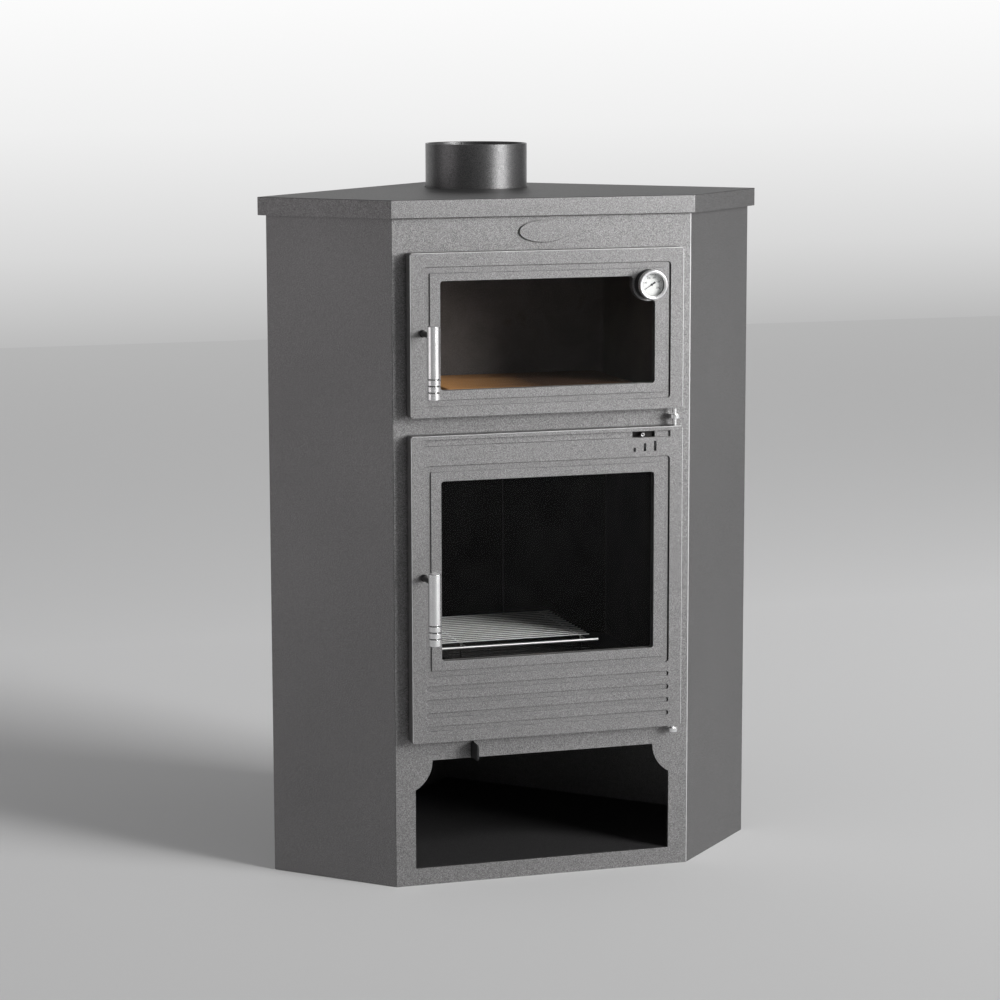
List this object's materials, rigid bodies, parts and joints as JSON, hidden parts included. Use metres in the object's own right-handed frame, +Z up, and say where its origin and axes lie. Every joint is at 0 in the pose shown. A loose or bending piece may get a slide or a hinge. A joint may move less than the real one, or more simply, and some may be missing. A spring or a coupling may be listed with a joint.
{
  "type": "corner wood cookstove",
  "caption": "Five-sided corner wood stove with a glazed oven over a glazed firebox, an open log niche and a top flue collar; doors, handles and air slides move.",
  "frame": {"origin": "on the floor, under the middle of the bounding box (the door handles count in its depth)", "axes": "+Z up, the front with the doors faces -Y, +X to the right seen from the front"},
  "size_m": [0.7442, 0.6032, 1.029],
  "materials": {
    "grey_paint": "matt speckled anthracite-grey stove paint",
    "dark_paint": "matt dark grey stove paint",
    "raw_steel": "heat-darkened steel",
    "cast_iron": "rough casting",
    "bright_steel": "polished",
    "black_steel": "black satin",
    "vermiculite": "porous lining board",
    "fire_stone": "refractory slab",
    "door_glass": "clear glass ceramic",
    "clear_glass": "clear",
    "rope": "braided glass-fibre rope",
    "dial": "white printed dial"
  },
  "bodies": {
    "stove_body": {"plinth_frame": "dark_paint", "niche_floor": "dark_paint", "niche_roof": "dark_paint", "front_panel": "grey_paint", "right_side_panel": "grey_paint", "left_side_panel": "grey_paint", "right_rear_panel": "grey_paint", "left_rear_panel": "grey_paint", "top_plate": "grey_paint", "flue_collar": "dark_paint", "firebox_floor": "raw_steel", "right_inner_wall": "raw_steel", "left_inner_wall": "raw_steel", "right_angled_wall": "raw_steel", "left_angled_wall": "raw_steel", "rear_inner_wall": "raw_steel", "smoke_chamber_ceiling": "raw_steel", "hearth_plate": "raw_steel", "fire_grate": "cast_iron", "right_firebrick": "vermiculite", "left_firebrick": "vermiculite", "right_angled_firebrick": "vermiculite", "left_angled_firebrick": "vermiculite", "rear_firebrick": "vermiculite", "smoke_baffle": "vermiculite", "ash_pan": "raw_steel", "wire_grill": "bright_steel", "oven_floor": "dark_paint", "oven_roof": "dark_paint", "oven_left_wall": "dark_paint", "oven_right_wall": "dark_paint", "oven_back_wall": "dark_paint", "oven_stone": "fire_stone", "upper_hinge_bracket": "black_steel", "middle_hinge_bracket": "grey_paint", "lower_hinge_bracket": "grey_paint", "oven_latch_hook": "bright_steel", "fire_latch_hook": "bright_steel", "air_slider_guide": "raw_steel"},
    "oven_door": {"oven_door_frame": "grey_paint", "oven_door_glass": "door_glass", "oven_glass_retainer": "raw_steel", "oven_door_rope": "rope", "thermometer_case": "black_steel", "thermometer_bezel": "bright_steel", "thermometer_dial": "dial", "thermometer_lens": "clear_glass"},
    "oven_handle": {"oven_handle_grip": "bright_steel", "oven_handle_stem": "black_steel", "oven_latch_cam": "raw_steel"},
    "thermometer_pointer": {"thermometer_needle": "black_steel"},
    "fire_door": {"fire_door_frame": "grey_paint", "fire_door_glass": "door_glass", "fire_glass_retainer": "raw_steel", "fire_door_rope": "rope"},
    "fire_handle": {"fire_handle_grip": "bright_steel", "fire_handle_stem": "black_steel", "fire_latch_cam": "raw_steel"},
    "secondary_air": {"secondary_air_slide": "raw_steel"},
    "primary_air": {"primary_air_slider": "black_steel"}
  },
  "joints": [
    {"name": "oven_door_swing", "type": "hinge", "parent": "stove_body", "child": "oven_door", "pos_m": [0.19, -0.22782, 0.667], "axis": [0, 0, 1], "range_deg": [0, 90]},
    {"name": "oven_handle_turn", "type": "hinge", "parent": "oven_door", "child": "oven_handle", "pos_m": [-0.182, -0.23783, 0.784], "axis": [0, 1, 0], "range_deg": [0, 90]},
    {"name": "thermometer_turn", "type": "hinge", "parent": "oven_door", "child": "thermometer_pointer", "pos_m": [0.146, -0.25083, 0.8433], "axis": [0, 1, 0], "range_deg": [0, 240]},
    {"name": "fire_door_swing", "type": "hinge", "parent": "stove_body", "child": "fire_door", "pos_m": [0.19, -0.22782, 0.2095], "axis": [0, 0, 1], "range_deg": [0, 110]},
    {"name": "fire_handle_turn", "type": "hinge", "parent": "fire_door", "child": "fire_handle", "pos_m": [-0.182, -0.23783, 0.445], "axis": [0, 1, 0], "range_deg": [0, 90]},
    {"name": "secondary_air_move", "type": "slide", "parent": "fire_door", "child": "secondary_air", "axis": [1, 0, 0], "range_m": [-0.01, 0.016]},
    {"name": "primary_air_move", "type": "slide", "parent": "stove_body", "child": "primary_air", "axis": [0, -1, 0], "range_m": [-0.018, 0.012]}
  ]
}
